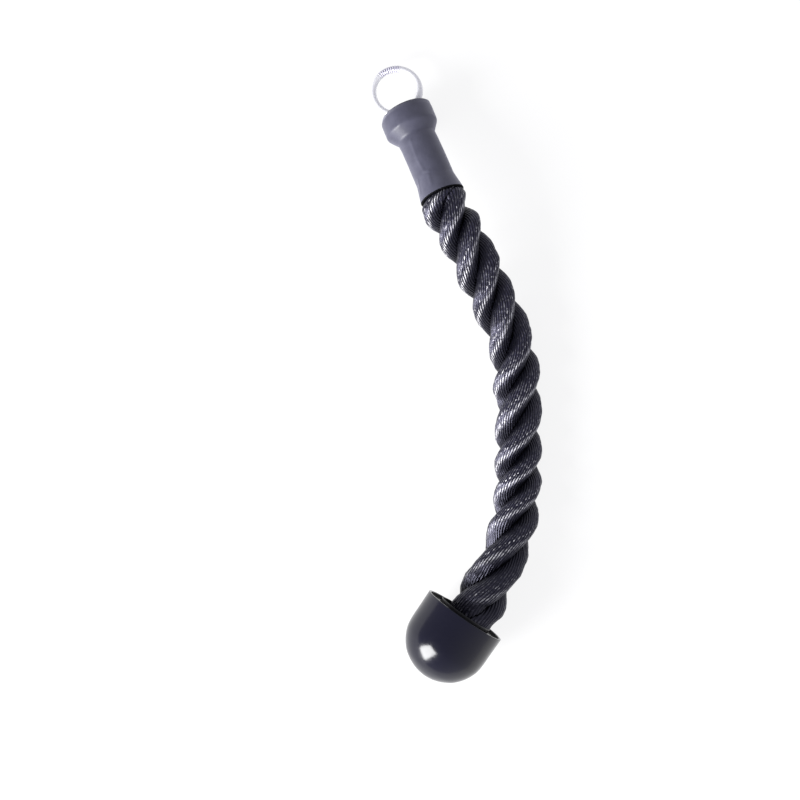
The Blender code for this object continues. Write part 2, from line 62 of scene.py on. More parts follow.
# The rope, as in the part. Shares of its radius say how far out a strand's middle is, and the strand's own.
ROPE_DIAMETER = 0.028
STRAND_COUNT = 3
STRAND_MIDDLE_SHARE = 0.48
STRAND_BACK_SHARE = 0.52
# The rope's course seen from above, as in the part: the share of its length, and degrees from -Y to +X.
PLAN_LENGTH = 0.2656
COURSE_STEPS = 400
HEADING_SHARES = (
    (0.00, 23.0),
    (0.08, 27.5),
    (0.195, 26.5),
    (0.285, 25.5),
    (0.335, 21.3),
    (0.38, 12.2),
    (0.43, 5.2),
    (0.51, 1.0),
    (0.60, 0.0),
    (0.68, -2.5),
    (0.73, -7.4),
    (0.78, -14.3),
    (0.83, -21.8),
    (0.88, -27.7),
    (0.94, -31.9),
    (1.00, -33.2),
)
# Where the rope lies on the table, as shares of its length.
REST_FROM_SHARE = 0.37
REST_TO_SHARE = 0.61
# Where each groove between strands passes the +X side: the share of the length, and thirds of a turn.
LAY_SHARES = (
    (0.037, 0.0),
    (0.10, 1.0),
    (0.19, 2.0),
    (0.273, 3.0),
    (0.38, 4.0),
    (0.463, 5.0),
    (0.557, 6.0),
    (0.636, 7.0),
    (0.71, 8.0),
    (0.792, 9.0),
    (0.90, 10.0),
    (1.00, 10.8),
)
# The clearance between pieces, and how far past the sleeve the rope is at its full thickness.
GAP = 0.0003
SWELLING_PAST_SLEEVE = 0.004
# How far the yarns stand out past the rope's own radius where nothing presses them.
YARNS_STAND_OUT = 0.0004
# The rope's thickness at the cap, and over which share of its length it gets there.
ROPE_AT_CAP_SHARE = 0.97
THINNING_SHARE = 0.06
# How far the rope lies to the left just past the sleeve: fully from the first length to the second, and
# not at all past twice the second.
NUDGE = 0.0012
NUDGE_RISE = 0.004
NUDGE_REACH = 0.009
# Where the sleeve and the cap press the strands into a round bundle, and how much at the cap.
PRESSED_PAST_SLEEVE = 0.010
PRESSED_BEFORE_CAP = 0.012
PRESSED_AT_CAP_SHARE = 0.7
# How much the rope swells a little before the cap.
LOOSE_SHARE = 0.13
LOOSE_BEFORE_CAP = 0.014
LOOSE_LENGTH = 0.009

# The yarns of a strand: how deep their furrows are, how they swell and beat along it, and how far they
# turn round it for each turn of the strands.
YARNS = 30
POINTS_A_YARN = 6
YARN_DEPTH = 0.00052
YARN_SWELL = 0.00012
YARN_BEAT = 0.00006
YARN_LAY_SHARE = 1.25
LONGEST_SWELL = 0.045
SHORTEST_SWELL = 0.0075
BEAT_LENGTH = 0.0042
ROW_STEP = 0.0008
# How many waves a random curve sums, and how far each may be stretched.
WAVE_LAYERS = 5
WAVE_STRETCH_SHARES = (0.8, 1.25)
# How many yarns a filament crosses, over one rope diameter along the rope.
FILAMENT_TWIST = -9.0
# Rows along each strand painted pale as highlights: their middle and half their width, in quarter
# turns round the strand from its outermost line, towards the next strand.
LOW_ROW, LOW_ROW_WIDTH = -0.43, 0.25
HIGH_ROW, HIGH_ROW_WIDTH = 0.05, 0.16
# The stretch painted black as the sleeve's shadow, and where and over what length the painted highlight rows fade.
PAINTED_SHADOW_PAST_SLEEVE = 0.0022
ROWS_END_BEFORE_CAP = 0.016
ROWS_FADE = 0.008
# The yarns get darker towards the cap: where that starts and ends, and how much of the colour is left.
SHADE_STARTS_BEFORE_CAP = 0.085
SHADE_FULL_BEFORE_CAP = 0.045
SHADE_SHARE = 0.45
# How far the rope goes into the sleeve and the cap.
ROPE_IN_SLEEVE = 0.010
ROPE_IN_CAP = 0.008
# How softly a strand meets its neighbours, the least slope of its side, and a side too far out to matter.
PRESS_SOFTNESS = 0.0007
LEAST_FACING = 0.001
NO_SIDE = 1
# How a strand's place and size wander along it.
STRAND_WANDER_SHARE = 0.03
LONGEST_WANDER = 0.05
SHORTEST_WANDER = 0.012

# The sleeve, measured from its mouth, as in the part but with a squarer mouth.
SLEEVE_LENGTH = 0.0588
SLEEVE_TILT = 13.5
SLEEVE_HEADING = 22.5
SLEEVE_WALL = 0.001
MOUTH_DIAMETER = 0.0306
MOUTH_ROUNDING = 0.0028
COLLAR_DIAMETER = 0.0321
COLLAR_LENGTH = 0.0121
# How far the collar bulges more to the left than to the right.
COLLAR_SHIFT = 0.0006
NECK_DIAMETER = 0.0234
SLEEVE_END_DIAMETER = 0.0272
SLEEVE_EDGE = 0.0004
NECK_FROM_SHARE = 0.31
NECK_TO_SHARE = 0.80
FERRULE_WALL = 0.0012
FERRULE_END_SHARE = 0.79
SLEEVE_COLUMNS = 180
SLEEVE_STEP = 0.0004
# How far the sleeve is painted black at its mouth and at the rope, as shade in the gaps there.
PAINTED_SHADE_AT_MOUTH = 0.0004
PAINTED_SHADE_AT_ROPE = 0.0006
# The length over which the sleeve's corners are softened.
SLEEVE_SOFTNESS = 0.0018
# The sleeve's dents: how far they go in or out, how many overlap, how often one repeats round the sleeve,
# which is at least the first number and less than the second, and its most half turns along the sleeve.
DENT_DEPTH = 0.00016
DENTS = 9
DENT_REPEATS = (1, 4)
DENT_TWIST = 4
# Lines raised on the sleeve: points as shares of its length, and degrees left of its top.
CREASE_HEIGHT = 0.00024
CREASE_WIDTH = 0.0011
CREASE_SHARES = (
    ((0.38, 24.6), (0.60, 29.7), (0.735, 25.0)),
    ((0.735, 25.0), (0.755, 12.0)),
    ((0.80, 17.0), (0.90, 19.0)),
    ((0.78, 62.0), (0.90, 66.0)),
    ((0.175, 24.0), (0.202, 28.0)),
)

# The pull ring. Its worn, ribbed stretch of wire starts, ends and fades in degrees from its level side.
WIRE_DIAMETER = 0.004
RING_INSIDE_DIAMETER = 0.024
RING_COLUMNS = 28
RING_ROWS = 480
RIB_FROM, RIB_TO = 62.0, 130.0
RIB_FADE = 14.0
RIB_LENGTH = 0.0013
RIB_HEIGHT = 0.00042
RIB_SWELL = 0.00025

# The cap and its lid, measured from the rim. The dome is fuller than the part's, and further to the side.
CAP_DIAMETER = 0.0512
CAP_DEPTH = 0.0430
CAP_HEADING = -34.3
CAP_SHIFT = 0.0027
CAP_LIP = 0.0015
CAP_WALL = 0.0027
CAP_FLOOR = 0.0032
CAP_OUTSIDE_SHARES = (
    (0.26, 0.993),
    (0.40, 0.992),
    (0.50, 0.981),
    (0.57, 0.959),
    (0.64, 0.916),
    (0.71, 0.856),
    (0.78, 0.776),
    (0.85, 0.668),
    (0.91, 0.525),
    (0.955, 0.375),
    (0.985, 0.218),
)
CAP_INSIDE_SHARES = ((0.55, 1.0), (0.68, 0.93), (0.80, 0.78), (0.90, 0.56), (0.97, 0.30))
LID_RECESS = 0.002
LID_THICKNESS = 0.0032
BOSS_DIAMETER = 0.0338
BOSS_HEIGHT = 0.0032
CAP_COLUMNS = 160
CAP_STEP = 0.0009
EDGE_ROUNDING = 0.0005
ARC_STEPS = 5

# The light from the low left, and the surround.
KEY_TOWARDS = (-0.757, -0.511, 0.407)
KEY_DISTANCE = 1.1
KEY_SIZE = (0.50, 0.72)
KEY_POWER = 27
WORLD_PALE_SIDE = (0.42, -0.1, -0.9)
WORLD_LEAST = 0.35
WORLD_MOST = 1.1
WORLD_COLOUR = (0.92, 0.92, 1.0, 1)
FLOOR_REACH = 30
FLOOR_COLOUR = (0.2, 0.2, 0.2, 1)
FLOOR_LIGHT = (1, 1, 1, 1)
FLOOR_GLOW = 0.84

# Materials. A colour is red, green, blue and alpha. A roughness is given where its noise is low and where
# it is high. A noise has its waves a metre and its detail. A bump has its strength and its height.
NOISE_RANGE = (0.3, 0.7)
SLEEVE_DARK = (0.053, 0.053, 0.084, 1)
SLEEVE_PALE = (0.069, 0.069, 0.106, 1)
SLEEVE_CLOUD = (160, 4)
SLEEVE_CLOUD_RANGE = (0.35, 0.65)
SLEEVE_GRAIN = (1400, 2)
SLEEVE_BUMP = (0.25, 0.0001)
SLEEVE_ROUGHNESS = (0.43, 0.51)
SHEEN_SHARE = 0.9
SHEEN_ROUGHNESS = 0.45
SHEEN_TINT = (0.85, 0.85, 1.0, 1)
# The sleeve's edges: a painted shade colour, and their roughness and gloss.
SLEEVE_EDGE_SHADE = (0.002, 0.002, 0.003, 1)
CUT_ROUGHNESS = (0.6, 0.8)
CUT_SPECULAR = 0.1
RING_PLATE = (0.97, 0.97, 1.0, 1)
# The ring's painted shade between its ribs.
RING_RIB_SHADE = (0.38, 0.35, 0.54, 1)
RING_BLOOM = (300, 3)
RING_METALLIC = 0.35
RING_ROUGHNESS = (0.26, 0.36)
CAP_COLOUR = (0.003, 0.003, 0.011, 1)
CAP_WAVE = (45, 1)
CAP_BUMP = (0.12, 0.001)
CAP_DUST = (500, 2)
CAP_DUST_RANGE = (0.4, 0.7)
CAP_ROUGHNESS = (0.17, 0.21)
CAP_IOR = 1.47
LID_COLOUR = (0.005, 0.005, 0.007, 1)
LID_GRAIN = (900, 2)
LID_BUMP = (0.3, 0.0001)
LID_ROUGHNESS = (0.28, 0.36)
METAL_BUMP = (0.2, 0.0001)
# The metals of the pieces that keep their shapes: name, colour, roughness and noise.
ZINC = ("zinc_plate", (0.62, 0.62, 0.64, 1), (0.26, 0.42), (700, 4))
EYE_PLATE = ("eye_plate", (0.80, 0.80, 0.82, 1), (0.26, 0.40), (500, 4))
DRAWN_METAL = ("drawn_aluminium", (0.70, 0.71, 0.73, 1), (0.32, 0.50), (900, 4))

# The yarns' colours: painted shade in grooves and furrows, plain from dark to pale, painted highlight, and the
# tint of their gloss.
YARN_PAINTED_SHADE = (0.001, 0.001, 0.0025, 1)
YARN_DARK = (0.007, 0.0065, 0.013, 1)
YARN_PALE = (0.042, 0.0405, 0.068, 1)
YARN_PAINTED_HIGHLIGHT = (0.97, 0.96, 1.0, 1)
YARN_GLOSS_TINT = (0.75, 0.74, 1.0, 1)
YARN_GLOSS = 0.42
YARN_IOR = 1.5
YARN_ROUGHNESS = (0.36, 0.24)
YARN_BUMP = (0.3, 0.0002)
# The waves of the yarns' noise, over one yarn across and one rope diameter along, and its detail.
FILAMENT_WAVES = (4.0, 9.0)
DASH_WAVES = (1.6, 16.0)
YARN_DETAIL = 2
# How far the noise of one yarn may lie from the next one's along the rope, in rope diameters.
YARN_OFFSET = 40
# The stretch of noise over which filaments go from dark to pale, yarns get pale flecks that are partly painted
# glints, and rows get painted highlights.
FILAMENT_RANGE = (0.38, 0.62)
FLECK_RANGE = (0.50, 0.62)
PAINTED_HIGHLIGHT_RANGE = (0.38, 0.54)
LEAST_PAINTED_HIGHLIGHT_SHARE = 0.1
FLECK_SHARE = 0.15
# Shares of a yarn's width from its edge: its middle, where its top takes the painted highlight, and where the
# painted shade of its furrow ends.
YARN_MIDDLE_SHARE = 0.5
TOP_SHARES = (0.17, 0.38)
FURROW_SHADE_SHARES = (0.08, 0.34)
# How far out in the rope the painted shade of a groove ends, as shares of its radius, and how much colour that
# painted shade leaves in a groove.
GROOVE_SHADE_SHARES = (0.76, 0.92)
LEAST_SHARE_IN_GROOVE_SHADE = 0.05


def smooth(rows, places):
    """The values at places, on a smooth curve through rows of place and value."""
    known, values = (np.array(column, float) for column in zip(*rows))
    slopes = np.gradient(values, known)
    inside = np.clip(places, known[0], known[-1])
    left = np.clip(np.searchsorted(known, inside) - 1, 0, len(known) - 2)
    right = left + 1
    width = known[right] - known[left]
    t = (inside - known[left]) / width
    curve = ease_between(t, values[left], values[right], slopes[left] * width, slopes[right] * width)
    end_slope = np.where(places < known[0], slopes[0], slopes[-1])
    return curve + end_slope * (places - inside)


def ease_between(t, start, end, start_slope, end_slope):
    """A cubic from start to end with these slopes, at t from 0 to 1."""
    return (
        start * (1 - t) ** 2 * (1 + 2 * t)
        + end * t**2 * (3 - 2 * t)
        + start_slope * t * (1 - t) ** 2
        - end_slope * t**2 * (1 - t)
    )


def step_up(t):
    """A smooth rise from 0 to 1 while t goes from 0 to 1."""
    return ease_between(np.clip(t, 0, 1), 0, 1, 0, 0)


def direction(heading, tilt=0.0):
    """A unit vector at a heading from -Y towards +X, tilted up from the table."""
    turn, rise = math.radians(heading), math.radians(tilt)
    return Vector((math.sin(turn) * math.cos(rise), -math.cos(turn) * math.cos(rise), math.sin(rise)))


def frame_at(origin, along):
    """A matrix whose Z runs along a direction, with its X level."""
    z_axis = along.normalized()
    x_axis = Vector((0, 0, 1)).cross(z_axis).normalized()
    y_axis = z_axis.cross(x_axis)
    turn = Matrix((x_axis, y_axis, z_axis)).transposed()
    return Matrix.Translation(origin) @ turn.to_4x4()


def named(items, name):
    """The record's joint or mount of that name."""
    return next(item for item in items if item["name"] == name)


class Layout:
    """Where the head, the rope's course and the cap lie, from the frame's own joint and mount."""

    def __init__(self):
        self.mouth = Vector(named(frame["joints"], "ring_swing")["pos_m"])
        self.head_axis = direction(SLEEVE_HEADING, SLEEVE_TILT)
        self.sleeve_end = self.mouth + self.head_axis * SLEEVE_LENGTH
        self.course = self.free_course()
        self.rim = Vector(self.course[-1])
        self.cap_axis = direction(CAP_HEADING)
        self.cap_middle = self.rim + Vector((0, 0, 1)).cross(self.cap_axis) * -CAP_SHIFT
        self.ring_outward = Vector(named(frame["record"]["mounts"], "ring_pull")["axis"])
        steps = np.linalg.norm(np.diff(self.course, axis=0), axis=1)
        self.along = np.concatenate([[0], np.cumsum(steps)])
        self.free_length = self.along[-1]

    def free_course(self):
        """The rope's middle between the sleeve and the cap, as rows of X, Y and Z."""
        share = np.linspace(0, 1, COURSE_STEPS + 1)
        heading = np.radians(smooth(HEADING_SHARES, (share[1:] + share[:-1]) / 2))
        step = PLAN_LENGTH / COURSE_STEPS
        across = np.concatenate([[0], np.cumsum(np.sin(heading) * step)]) + self.sleeve_end.x
        down = np.concatenate([[0], np.cumsum(-np.cos(heading) * step)]) + self.sleeve_end.y
        first = np.clip(share / REST_FROM_SHARE, 0, 1)
        last = np.clip((share - REST_TO_SHARE) / (1 - REST_TO_SHARE), 0, 1)
        lying = ROPE_DIAMETER / 2 + YARNS_STAND_OUT
        climb = math.tan(math.radians(SLEEVE_TILT)) * PLAN_LENGTH * REST_FROM_SHARE
        height = np.where(
            share < REST_FROM_SHARE,
            ease_between(first, self.sleeve_end.z, lying, climb, 0),
            ease_between(last, lying, CAP_DIAMETER / 2, 0, 0),
        )
        return np.column_stack([across, down, height])

    def middles(self, distances):
        """The rope's middle at distances past the sleeve's end, which may be inside the sleeve or cap."""
        inside = np.clip(distances, 0, self.free_length)
        places = np.column_stack([np.interp(inside, self.along, self.course[:, k]) for k in range(3)])
        before = np.minimum(distances, 0)[:, None] * np.array(self.head_axis)
        past = np.maximum(distances - self.free_length, 0)[:, None] * np.array(self.cap_axis)
        return places + before + past

    def rope_radii(self, distances):
        """The rope's radius: squeezed in the ferrule, full outside, thinner again at the cap."""
        full = ROPE_DIAMETER / 2 + YARNS_STAND_OUT
        squeezed = NECK_DIAMETER / 2 - SLEEVE_WALL - FERRULE_WALL - 2 * GAP
        at_exit = SLEEVE_END_DIAMETER / 2 - SLEEVE_WALL - GAP
        in_flare = step_up(1 + distances / (SLEEVE_LENGTH * (1 - FERRULE_END_SHARE)))
        past_sleeve = np.sin(np.clip(distances / SWELLING_PAST_SLEEVE, 0, 1) * math.pi / 2)
        thinning = THINNING_SHARE * self.free_length
        near_cap = step_up((distances - self.free_length + thinning) / thinning)
        head_radii = squeezed + (at_exit - squeezed) * in_flare + (full - at_exit) * past_sleeve
        loose = np.exp(-(((distances - self.free_length + LOOSE_BEFORE_CAP) / LOOSE_LENGTH) ** 2))
        return head_radii * (1 - (1 - ROPE_AT_CAP_SHARE) * near_cap + LOOSE_SHARE * loose)

    def pressed(self, distances):
        """How round the bundle of strands is: 1 where it fills the sleeve, 0 where each strand is round."""
        at_sleeve = 1 - step_up(distances / PRESSED_PAST_SLEEVE)
        at_cap = step_up((distances - self.free_length + PRESSED_BEFORE_CAP) / PRESSED_BEFORE_CAP)
        return np.maximum(at_sleeve, at_cap * PRESSED_AT_CAP_SHARE)


def waves(count, places, longest, shortest):
    """Smooth random curves at places, one a row, between about -1 and 1."""
    curves = np.zeros((count, len(places)))
    for length in np.geomspace(longest, shortest, WAVE_LAYERS):
        phase = RANDOM.uniform(0, math.tau, (count, 1))
        stretch = RANDOM.uniform(*WAVE_STRETCH_SHARES, (count, 1))
        curves += np.sin(places[None, :] / length * stretch * math.tau + phase)
    return curves / math.sqrt(WAVE_LAYERS)


def mesh_object(name, points, faces, uvs=None):
    """A smooth mesh object from points and faces, with one UV pair for each corner."""
    mesh = bpy.data.meshes.new(name)
    mesh.from_pydata(np.asarray(points).tolist(), [], faces)
    if uvs is not None:
        layer = mesh.uv_layers.new(name="UVMap")
        layer.data.foreach_set("uv", np.asarray(uvs, np.float32).ravel())
    mesh.update()
    mesh.shade_smooth()
    thing = bpy.data.objects.new(name, mesh)
    bpy.context.scene.collection.objects.link(thing)
    return thing


def grid_faces(rows, columns, start=0, wrap=False):
    """Quads of a grid of points, numbered row by row, whose columns and maybe rows close into a ring."""
    count = rows if wrap else rows - 1
    row, column = np.meshgrid(np.arange(count), np.arange(columns), indexing="ij")
    beside = (column + 1) % columns
    here = start + row * columns
    above = start + (row + 1) % rows * columns
    faces = np.stack([here + column, here + beside, above + beside, above + column], axis=-1)
    return faces.reshape(-1, 4).tolist()


def fan_faces(start, columns, middle, flip=False):
    """Triangles from a closed row of points to a middle point."""
    faces = [(start + (k + 1) % columns, start + k, middle) for k in range(columns)]
    if flip:
        faces = [tuple(reversed(face)) for face in faces]
    return faces


def turned(name, outline, place, columns, push=None):
    """A closed solid of revolution from an outline of radius and height.

    The outline closes into a ring, unless it starts and ends on the axis. push gives how far each point
    moves outwards, from its angle and its height.
    """
    outline = np.array(outline)
    on_axis = outline[0][0] == 0
    rows = outline[1:-1] if on_axis else outline
    angle = np.linspace(0, math.tau, columns, endpoint=False)[None, :]
    radius, height = rows[:, 0][:, None], rows[:, 1][:, None]
    if push is not None:
        radius = radius + push(angle, height)
    grid = np.stack(np.broadcast_arrays(radius * np.cos(angle), radius * np.sin(angle), height), axis=-1)
    points = grid.reshape(-1, 3)
    faces = grid_faces(len(rows), columns, wrap=not on_axis)
    if on_axis:
        first, last = len(points), len(points) + 1
        points = np.vstack([points, (0, 0, outline[0][1]), (0, 0, outline[-1][1])])
        faces += fan_faces(0, columns, first)
        faces += fan_faces((len(rows) - 1) * columns, columns, last, flip=True)
    matrix = np.array(place)
    points = points @ matrix[:3, :3].T + matrix[:3, 3]
    return mesh_object(name, points, faces)


def close_steps(points, step):
    """A polyline with more points on its long sides."""
    dense = [points[0]]
    for before, after in zip(points[:-1], points[1:]):
        before, after = np.array(before), np.array(after)
        count = max(1, math.ceil(np.linalg.norm(after - before) / step))
        dense += [tuple(before + (after - before) * k / count) for k in range(1, count + 1)]
    return dense


def with_arcs(points, rounding):
    """A polyline with every corner but its two ends rounded."""
    smoothed = [points[0]]
    for before, corner, after in zip(points[:-2], points[1:-1], points[2:]):
        corner = np.array(corner)
        ends = []
        for other in (before, after):
            way = np.array(other) - corner
            length = np.linalg.norm(way)
            ends.append(corner + way / length * min(rounding, length / 2))
        for t in np.linspace(0, 1, ARC_STEPS):
            bend = ends[0] * (1 - t) ** 2 + 2 * corner * t * (1 - t) + ends[1] * t**2
            smoothed.append(tuple(bend))
    smoothed.append(points[-1])
    return smoothed


def curve_through(points, step):
    """Close points on a smooth curve through points."""
    points = np.array(points, float)
    along = np.concatenate([[0], np.cumsum(np.linalg.norm(np.diff(points, axis=0), axis=1))])
    places = np.linspace(0, along[-1], round(along[-1] / step) + 1)
    return np.column_stack([smooth(list(zip(along, column)), places) for column in points.T])


def grid_uvs(across, along):
    """UV pairs for grid_faces: across has one value more than the columns, along one for each row."""
    left, right = across[:-1], across[1:]
    corners = []
    for u, v in ((left, along[:-1]), (right, along[:-1]), (right, along[1:]), (left, along[1:])):
        corners.append(np.stack(np.broadcast_arrays(u[None, :], v[:, None]), axis=-1))
    return np.stack(corners, axis=2).reshape(-1, 2)


def rope_frames(layout, stations):
    """The rope's middles at stations, and its level and upright directions there."""
    middles = layout.middles(stations)
    tangents = np.gradient(middles, stations, axis=0)
    tangents /= np.linalg.norm(tangents, axis=1)[:, None]
    level = np.cross((0, 0, 1), tangents)
    level /= np.linalg.norm(level, axis=1)[:, None]
    return middles, level, np.cross(tangents, level)


def strand_reach(radii, middle, back, pressed, around, lean):
    """How far a strand's surface is from its own middle, before its yarns.

    Its back is round, or follows the rope's outside where the bundle is pressed. Its sides stop where
    they meet its neighbours.
    """
    bundle = np.sqrt(radii**2 - (middle * np.sin(around)) ** 2) - middle * np.cos(around)
    off = np.abs(lean)
    half_sector = math.pi / STRAND_COUNT
    facing = np.maximum(np.sin(off - half_sector), LEAST_FACING)
    side = np.where(off > half_sector, middle * math.sin(half_sector) / facing, NO_SIDE)
    return soft_least(back + (bundle - back) * pressed, side, PRESS_SOFTNESS)


def strand_points(layout, number, stations):
    """One strand's surface, with its yarns as ridges.

    Gives rows of points round its section, how far out in the rope each point is, as a share of the
    rope's radius, and its lean: the quarter turns round the strand from its outermost line.
    """
    middles, level, upright = rope_frames(layout, stations)
    radii = layout.rope_radii(stations)[:, None]
    pressed = layout.pressed(stations)[:, None]
    turn = smooth(LAY_SHARES, stations / layout.free_length) * math.tau / STRAND_COUNT
    turn = (turn + math.tau * (number + 1 / 2) / STRAND_COUNT)[:, None]
    wander = 1 + STRAND_WANDER_SHARE * waves(2, stations, LONGEST_WANDER, SHORTEST_WANDER)[..., None]
    middle = radii * STRAND_MIDDLE_SHARE * wander[0]
    back = radii * STRAND_BACK_SHARE * wander[1]

    place = np.arange(YARNS * POINTS_A_YARN) / POINTS_A_YARN
    yarn = np.floor(place).astype(int)
    around = place / YARNS * math.tau - turn * YARN_LAY_SHARE
    lean = (around + math.pi) % math.tau - math.pi
    reach = strand_reach(radii, middle, back, pressed, around, lean)
    crest = np.sqrt(1 - (2 * (place - yarn) - 1) ** 2)
    swell = waves(YARNS, stations, LONGEST_SWELL, SHORTEST_SWELL)[yarn].T
    beat = waves(YARNS, stations, BEAT_LENGTH, BEAT_LENGTH)[yarn].T
    reach = reach - YARN_DEPTH * (1 - crest) + (YARN_SWELL * swell + YARN_BEAT * beat) * crest

    x = middle + reach * np.cos(around)
    y = reach * np.sin(around)
    nudge = NUDGE * step_up(stations / NUDGE_RISE) * step_up(2 - stations / NUDGE_REACH)
    across = x * np.cos(turn) - y * np.sin(turn) - nudge[:, None]
    up = x * np.sin(turn) + y * np.cos(turn)
    points = middles[:, None] + across[..., None] * level[:, None] + up[..., None] * upright[:, None]
    return points, np.hypot(x, y) / radii, lean / (math.pi / 2)


def soft_least(a, b, softness):
    """The lesser of two lengths, rounded where they are nearly alike."""
    blend = np.clip((b - a) / softness / 2 + 1 / 2, 0, 1)
    return b + (a - b) * blend - softness * blend * (1 - blend)


def add_rope(layout):
    """The laid rope as one piece of three strands, between the sleeve and the cap."""
    first, last = -ROPE_IN_SLEEVE, layout.free_length + ROPE_IN_CAP
    stations = np.linspace(first, last, round((last - first) / ROW_STEP) + 1)
    columns = YARNS * POINTS_A_YARN
    across = np.arange(columns + 1) / POINTS_A_YARN
    points, faces, uvs, openness, leans = [], [], [], [], []
    for number in range(STRAND_COUNT):
        rows, reaches, lean = strand_points(layout, number, stations)
        start = len(points)
        openness += [*reaches.ravel().tolist(), 0, 0]
        leans += [*lean.ravel().tolist(), 0, 0]
        points += rows.reshape(-1, 3).tolist()
        points += [rows[0].mean(axis=0).tolist(), rows[-1].mean(axis=0).tolist()]
        last_row = start + (len(stations) - 1) * columns
        faces += grid_faces(len(stations), columns, start)
        uvs.append(grid_uvs(across + number * YARNS, stations / ROPE_DIAMETER))
        ends = fan_faces(start, columns, len(points) - 2)
        ends += fan_faces(last_row, columns, len(points) - 1, flip=True)
        faces += ends
        uvs.append(np.zeros((sum(len(face) for face in ends), 2)))
    rope = mesh_object("rope", points, faces, np.vstack(uvs))
    for name, values in (("openness", openness), ("lean", leans)):
        layer = rope.data.attributes.new(name, "FLOAT", "POINT")
        layer.data.foreach_set("value", values)
    rope.data.materials.append(yarn_material(layout))
    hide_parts(*[f"strand_{k + 1}" for k in range(STRAND_COUNT)])
    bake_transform(rope)
    [tuple(place) for place in layout.middles(stations)]


def sleeve_outside():
    """The sleeve's outer side from its mouth to its end, with softened corners."""
    corners = (
        (SLEEVE_EDGE, MOUTH_DIAMETER),
        (MOUTH_ROUNDING, COLLAR_DIAMETER),
        (COLLAR_LENGTH, COLLAR_DIAMETER),
        (SLEEVE_LENGTH * NECK_FROM_SHARE, NECK_DIAMETER),
        (SLEEVE_LENGTH * NECK_TO_SHARE, NECK_DIAMETER),
        (SLEEVE_LENGTH - SLEEVE_EDGE, SLEEVE_END_DIAMETER),
    )
    heights = np.arange(SLEEVE_EDGE, SLEEVE_LENGTH - SLEEVE_EDGE, SLEEVE_STEP)
    known, diameters = zip(*corners)
    radii = np.interp(heights, known, diameters) / 2
    reach = round(SLEEVE_SOFTNESS / SLEEVE_STEP)
    weights = np.hanning(2 * reach + 1)
    padded = np.pad(radii, reach, mode="reflect", reflect_type="odd")
    softened = np.convolve(padded, weights / weights.sum(), mode="valid")
    return list(zip(softened, heights))


def crease_push(angle, height):
    """How far the creases lift the sleeve at an angle round it and a height along it."""
    left_of_top = angle - math.pi / 2
    around, along = np.broadcast_arrays(left_of_top * NECK_DIAMETER / 2, height)
    place = np.stack([along, around], axis=-1)
    lift = np.zeros(along.shape)
    for crease in CREASE_SHARES:
        line = [np.array((s * SLEEVE_LENGTH, math.radians(d) * NECK_DIAMETER / 2)) for s, d in crease]
        nearest = np.full(along.shape, np.inf)
        for start, end in zip(line[:-1], line[1:]):
            way = end - start
            t = np.clip((place - start) @ way / (way @ way), 0, 1)
            nearest = np.minimum(nearest, np.linalg.norm(place - start - t[..., None] * way, axis=-1))
        lift = np.maximum(lift, np.exp(-((nearest / CREASE_WIDTH) ** 2)))
    return lift * CREASE_HEIGHT


def add_sleeve(layout):
    """The soft sleeve over the ferrule, with dents and creases, from its mouth to the rope."""
    outside = sleeve_outside()
    neck, end = NECK_DIAMETER / 2 - SLEEVE_WALL, SLEEVE_END_DIAMETER / 2 - SLEEVE_WALL
    mouth = MOUTH_DIAMETER / 2 - SLEEVE_WALL
    inside = [
        (SLEEVE_END_DIAMETER / 2 - SLEEVE_EDGE, SLEEVE_LENGTH),
        (end, SLEEVE_LENGTH),
        (neck, SLEEVE_LENGTH * FERRULE_END_SHARE),
        (neck, SLEEVE_LENGTH * NECK_FROM_SHARE),
        (mouth, COLLAR_LENGTH),
        (mouth, 0),
        (MOUTH_DIAMETER / 2 - SLEEVE_EDGE, 0),
    ]
    outline = outside + close_steps(inside, SLEEVE_SOFTNESS)
    repeats = RANDOM.integers(*DENT_REPEATS, DENTS)
    twists = RANDOM.uniform(-DENT_TWIST, DENT_TWIST, DENTS)
    phases = RANDOM.uniform(0, math.tau, DENTS)

    def push(angle, height):
        dents = 0
        for repeat, twist, phase in zip(repeats, twists, phases):
            dents = dents + np.sin(angle * repeat + height / SLEEVE_LENGTH * twist * math.pi + phase)
        in_collar = step_up(height / MOUTH_ROUNDING) * step_up(2 - height / COLLAR_LENGTH)
        push_out = dents / math.sqrt(DENTS) * DENT_DEPTH + crease_push(angle, height)
        push_out = push_out - COLLAR_SHIFT * in_collar * np.cos(angle)
        push_out[len(outside):] = 0
        return push_out

    sleeve = turned("sleeve", outline, frame_at(layout.mouth, layout.head_axis), SLEEVE_COLUMNS, push)
    sleeve.data.materials.append(sleeve_material())
    sleeve.data.materials.append(sleeve_edge_shade_material())
    edge_slot = len(sleeve.data.materials) - 1
    # Painted shade: faces at the sleeve's mouth and at the rope take the black edge material.
    for face in sleeve.data.polygons:
        along = (face.center - layout.mouth).dot(layout.head_axis)
        if along < PAINTED_SHADE_AT_MOUTH or along > SLEEVE_LENGTH - PAINTED_SHADE_AT_ROPE:
            face.material_index = edge_slot
    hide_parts("shrink_sleeve")
    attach(sleeve, "head")


